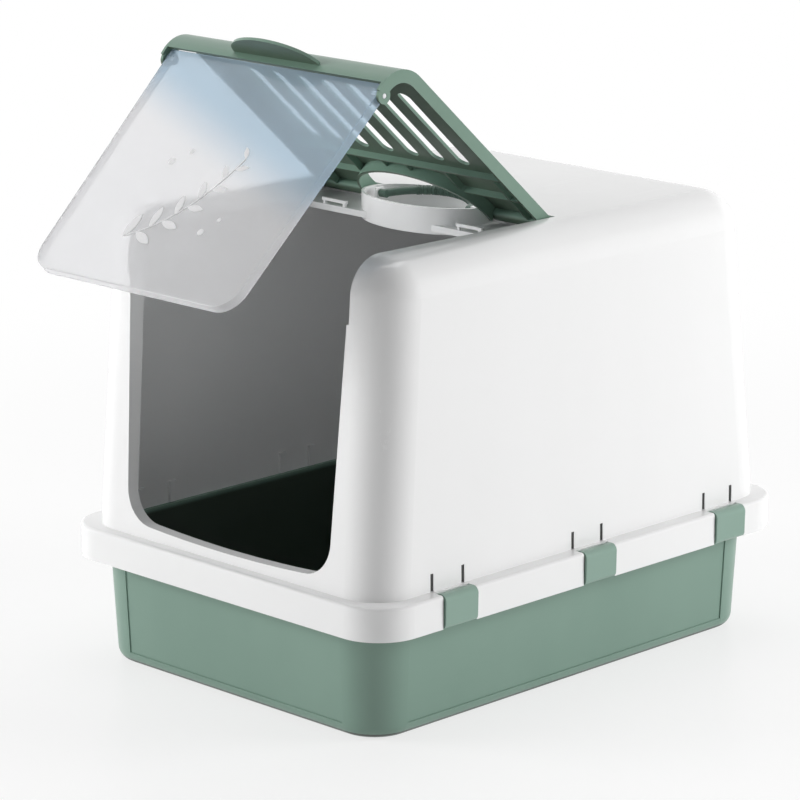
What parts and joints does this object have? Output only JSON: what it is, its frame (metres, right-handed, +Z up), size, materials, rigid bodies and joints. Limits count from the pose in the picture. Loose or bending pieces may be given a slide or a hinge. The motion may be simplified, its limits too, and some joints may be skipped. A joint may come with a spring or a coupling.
{
  "type": "covered litter box",
  "caption": "Covered cat litter box: deep tray, tall hood with a front entrance, slotted lifting lid with a clear swing flap, carry handle and snap clips.",
  "frame": {"origin": "centre of the tray's underside, on the floor, below the middle of the entrance's width", "axes": "+Z up, the entrance faces -Y, +X to the right seen from the front, +Y towards the rear"},
  "size_m": [0.4378, 0.6717, 0.6198],
  "materials": {
    "tray_green": "satin moulded plastic",
    "hood_white": "glossy moulded plastic",
    "lid_green": "satin moulded plastic",
    "flap_clear": "clear moulded plastic",
    "handle_green": "satin moulded plastic",
    "clip_green": "satin moulded plastic"
  },
  "bodies": {
    "base": {"tray": "tray_green", "hood": "hood_white"},
    "lid": {"lid": "lid_green"},
    "flap": {"flap": "flap_clear"},
    "carry_handle": {"carry_handle": "handle_green"},
    "clip_right_front": {"clip_right_front": "clip_green"},
    "clip_right_middle": {"clip_right_middle": "clip_green"},
    "clip_right_rear": {"clip_right_rear": "clip_green"},
    "clip_left_front": {"clip_left_front": "clip_green"},
    "clip_left_middle": {"clip_left_middle": "clip_green"},
    "clip_left_rear": {"clip_left_rear": "clip_green"}
  },
  "joints": [
    {"name": "lid_hinge", "type": "hinge", "parent": "base", "child": "lid", "pos_m": [0, 0.006, 0.4376], "axis": [-1, 0, 0], "range_deg": [-41.8, 50]},
    {"name": "flap_swing", "type": "hinge", "parent": "lid", "child": "flap", "pos_m": [0, -0.20545, 0.58293], "axis": [-1, 0, 0], "range_deg": [-75, 75]},
    {"name": "handle_lift", "type": "hinge", "parent": "base", "child": "carry_handle", "pos_m": [0, -0.004, 0.439], "axis": [1, 0, 0], "range_deg": [0, 95]},
    {"name": "clip_right_front_swing", "type": "hinge", "parent": "base", "child": "clip_right_front", "pos_m": [0.21, -0.181, 0.1325], "axis": [0, -1, 0], "range_deg": [0, 110]},
    {"name": "clip_right_middle_swing", "type": "hinge", "parent": "base", "child": "clip_right_middle", "pos_m": [0.21, 0.008, 0.1325], "axis": [0, -1, 0], "range_deg": [0, 110]},
    {"name": "clip_right_rear_swing", "type": "hinge", "parent": "base", "child": "clip_right_rear", "pos_m": [0.21, 0.197, 0.1325], "axis": [0, -1, 0], "range_deg": [0, 110]},
    {"name": "clip_left_front_swing", "type": "hinge", "parent": "base", "child": "clip_left_front", "pos_m": [-0.21, -0.181, 0.1325], "axis": [0, 1, 0], "range_deg": [0, 110]},
    {"name": "clip_left_middle_swing", "type": "hinge", "parent": "base", "child": "clip_left_middle", "pos_m": [-0.21, 0.008, 0.1325], "axis": [0, 1, 0], "range_deg": [0, 110]},
    {"name": "clip_left_rear_swing", "type": "hinge", "parent": "base", "child": "clip_left_rear", "pos_m": [-0.21, 0.197, 0.1325], "axis": [0, 1, 0], "range_deg": [0, 110]}
  ]
}
